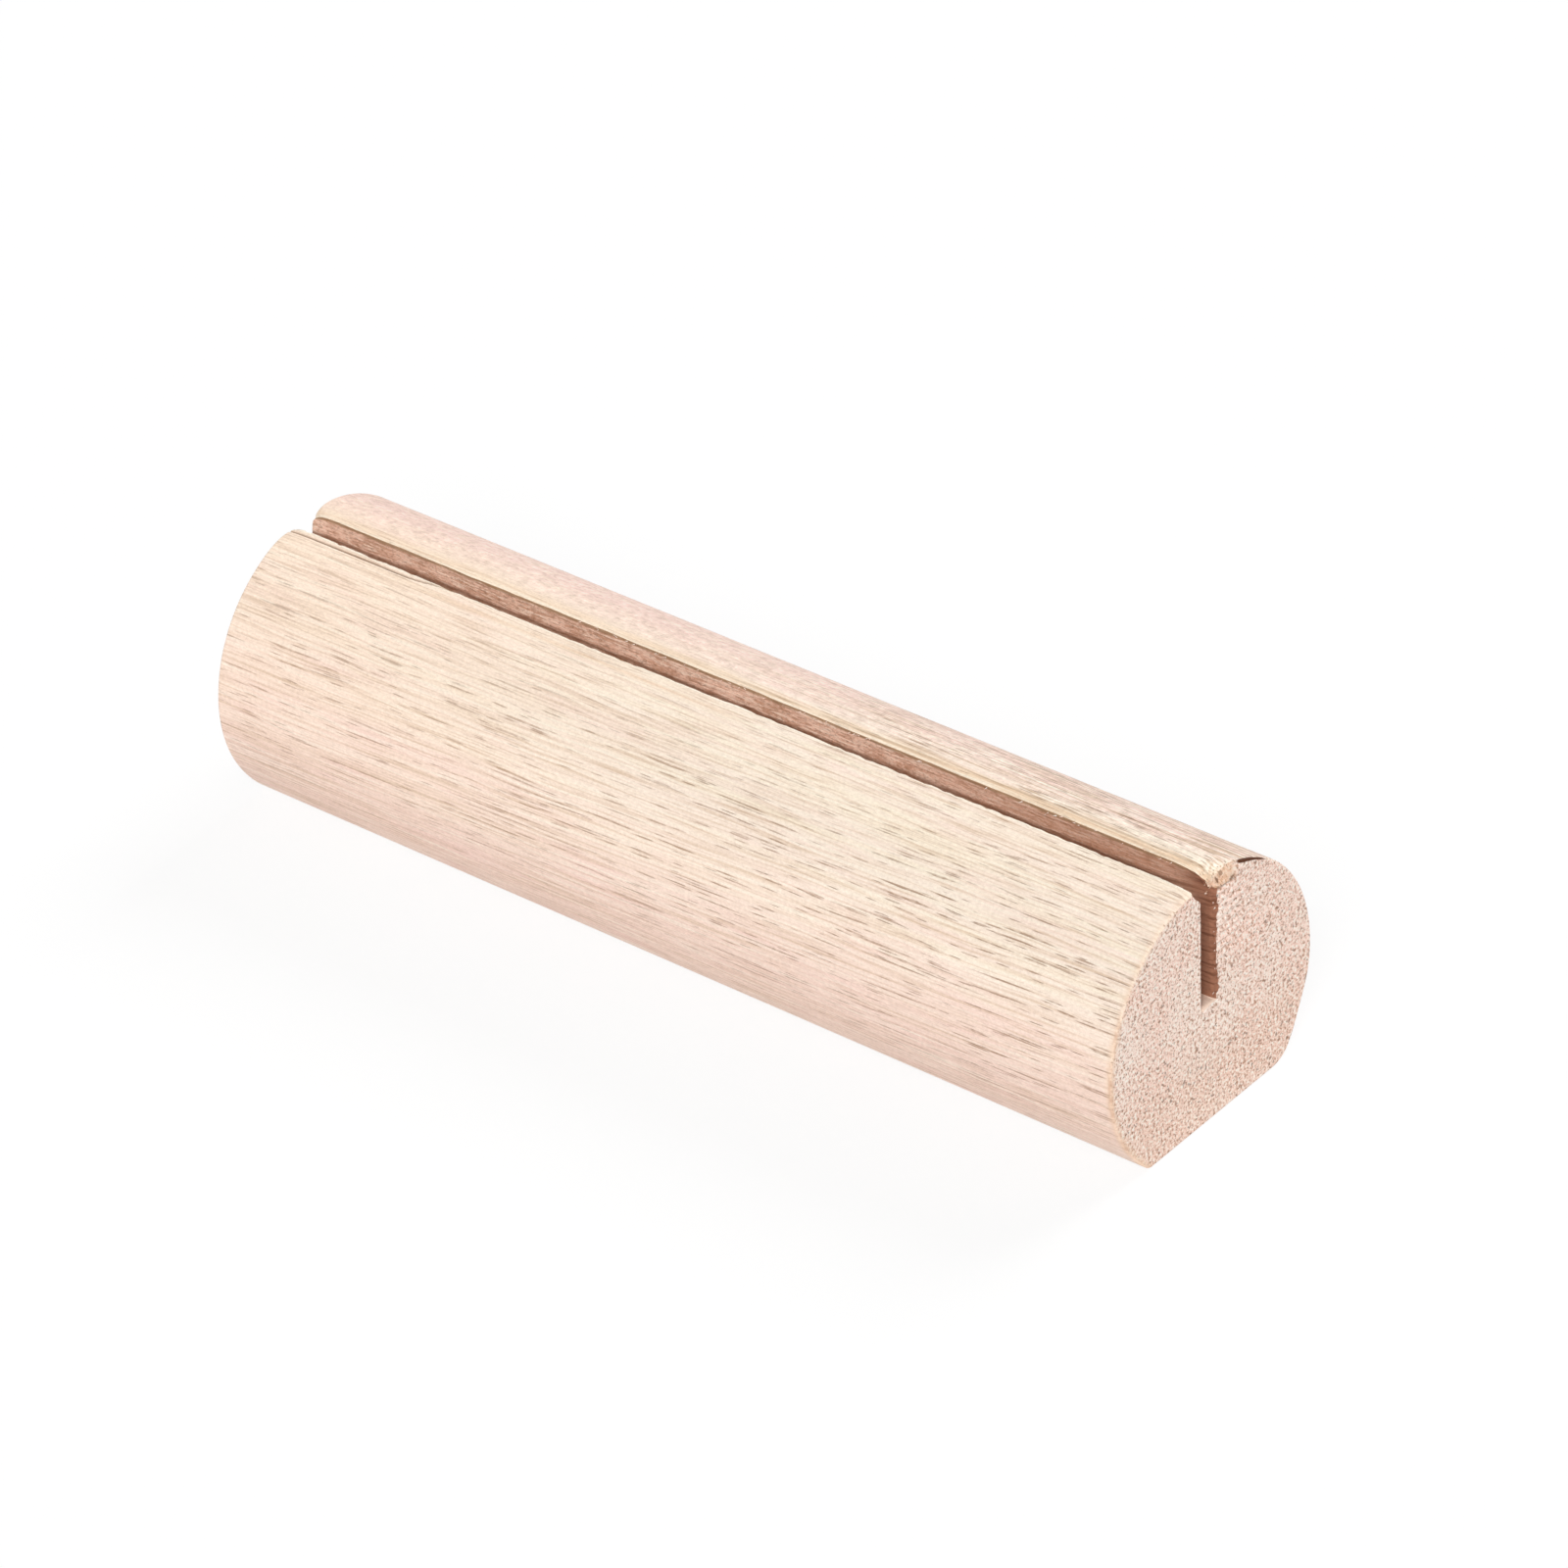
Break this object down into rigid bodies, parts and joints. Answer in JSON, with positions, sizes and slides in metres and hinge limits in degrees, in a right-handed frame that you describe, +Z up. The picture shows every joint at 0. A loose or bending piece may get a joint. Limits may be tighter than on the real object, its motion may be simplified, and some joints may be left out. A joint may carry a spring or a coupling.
{
  "type": "place card holder",
  "caption": "Short round bar of pale bare wood, cut flat underneath, with a straight sawn slot along its top that holds a card on edge.",
  "frame": {"origin": "on the table, under the middle of the bar's bounding box", "axes": "+X along the bar to its right end, -Y towards the front, +Z up"},
  "size_m": [0.1, 0.028, 0.0245],
  "materials": {
    "pale_wood": "bare sanded pale wood with fine open grain"
  },
  "bodies": {
    "root": {"wooden_bar": "pale_wood"}
  },
  "joints": []
}
